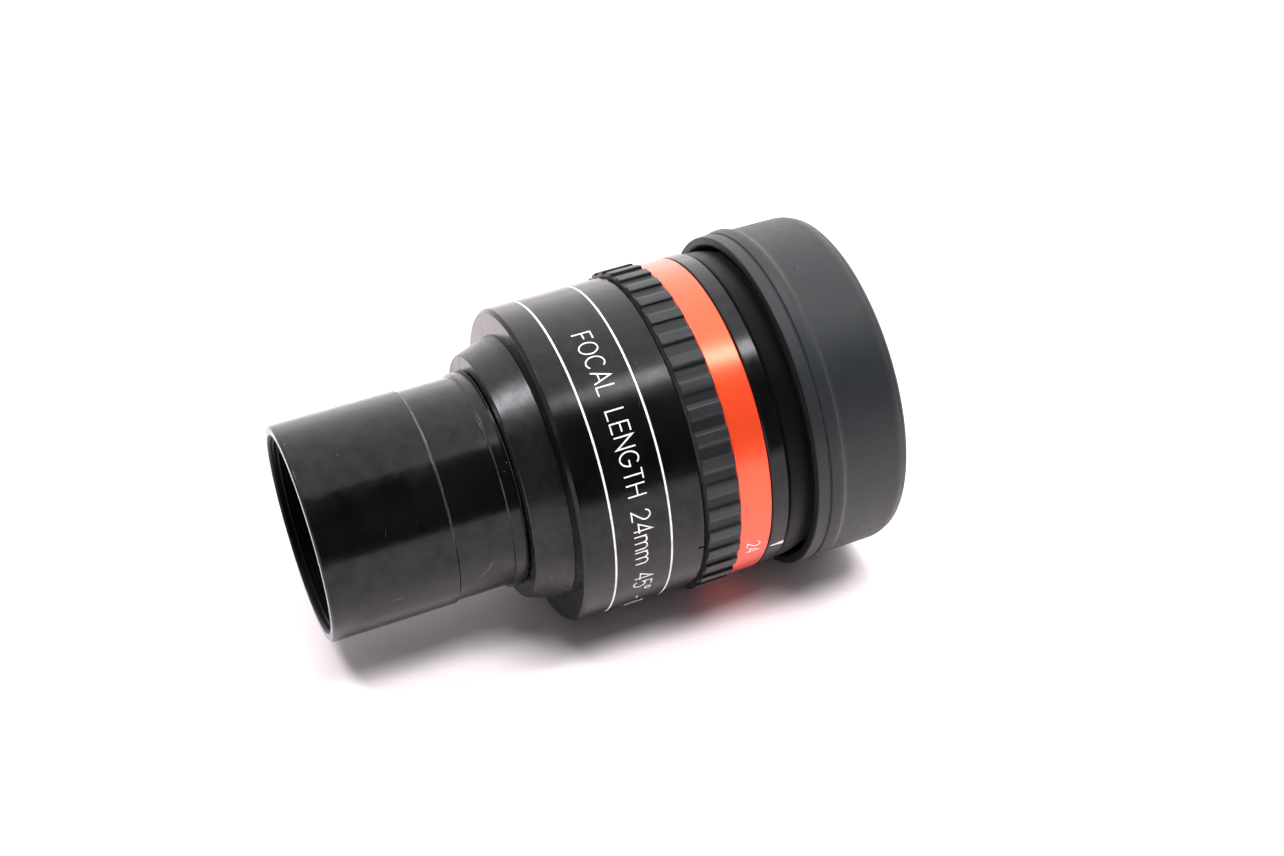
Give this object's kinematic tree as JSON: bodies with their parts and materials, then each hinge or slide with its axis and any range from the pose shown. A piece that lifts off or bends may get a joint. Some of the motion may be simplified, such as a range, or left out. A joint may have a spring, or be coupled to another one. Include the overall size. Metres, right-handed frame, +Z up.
{
  "type": "zoom telescope eyepiece",
  "caption": "Zoom eyepiece with a straight nosepiece, a ribbed rubber zoom grip, an orange scale ring and a folded rubber eyecup; turning the grip slides two lens groups inside.",
  "frame": {"origin": "on the optical axis at the shoulder, the plane of the neck's front face, which a focuser's rim meets", "axes": "+X along the optical axis from the nosepiece to the eye end, +Z up; the eyepiece lies on its side"},
  "size_m": [0.0836, 0.0518, 0.0518],
  "materials": {
    "black_anodised": "gloss black anodised, fine turned lines",
    "matt_black_metal": "matt black anodised",
    "orange_anodised": "gloss orange-red anodised",
    "grip_rubber": "satin moulded rubber",
    "eyecup_rubber": "matt moulded rubber",
    "nylon": "plain",
    "steel": "bright",
    "brass": "turned",
    "coated_glass": "polished with a green anti-reflection coating",
    "white_paint": "paint fill"
  },
  "bodies": {
    "eyepiece_body": {"nosepiece_sleeve": "black_anodised", "nosepiece_adapter": "black_anodised", "neck_cone": "black_anodised", "main_body": "black_anodised", "guide_tube": "matt_black_metal", "front_glide_washer": "nylon", "rear_glide_washer": "nylon", "eye_head": "black_anodised", "head_grub_screws": "steel", "eyecup_rubber": "eyecup_rubber", "eye_lens_cell": "matt_black_metal", "eye_doublet_flint": "coated_glass", "eye_doublet_crown": "coated_glass", "eye_lens_spacer": "matt_black_metal", "eye_singlet": "coated_glass", "eye_lens_retainer": "matt_black_metal"},
    "zoom_ring": {"zoom_hub": "matt_black_metal", "grip_rubber": "grip_rubber", "scale_ring": "orange_anodised", "cam_tube": "matt_black_metal", "hub_screws": "steel", "stop_pin": "steel"},
    "middle_group": {"middle_cell": "matt_black_metal", "field_stop": "matt_black_metal", "middle_doublet_crown": "coated_glass", "middle_doublet_flint": "coated_glass", "middle_retainer": "matt_black_metal", "middle_follower_pins": "brass"},
    "field_group": {"field_cell": "matt_black_metal", "field_doublet_flint": "coated_glass", "field_doublet_crown": "coated_glass", "field_retainer": "matt_black_metal", "field_follower_pins": "brass"}
  },
  "joints": [
    {"name": "zoom_turn", "type": "hinge", "parent": "eyepiece_body", "child": "zoom_ring", "pos_m": [0.0286, 0, 0], "axis": [-1, 0, 0], "range_deg": [0, 180]},
    {"name": "middle_slide", "type": "slide", "parent": "eyepiece_body", "child": "middle_group", "axis": [1, 0, 0], "range_m": [0, 0.006]},
    {"name": "field_slide", "type": "slide", "parent": "eyepiece_body", "child": "field_group", "axis": [-1, 0, 0], "range_m": [0, 0.012]}
  ],
  "couplings": [
    {"joint": "middle_slide", "follows": "zoom_turn", "m_per_rad": 0.0019098},
    {"joint": "field_slide", "follows": "zoom_turn", "m_per_rad": 0.0038196}
  ]
}
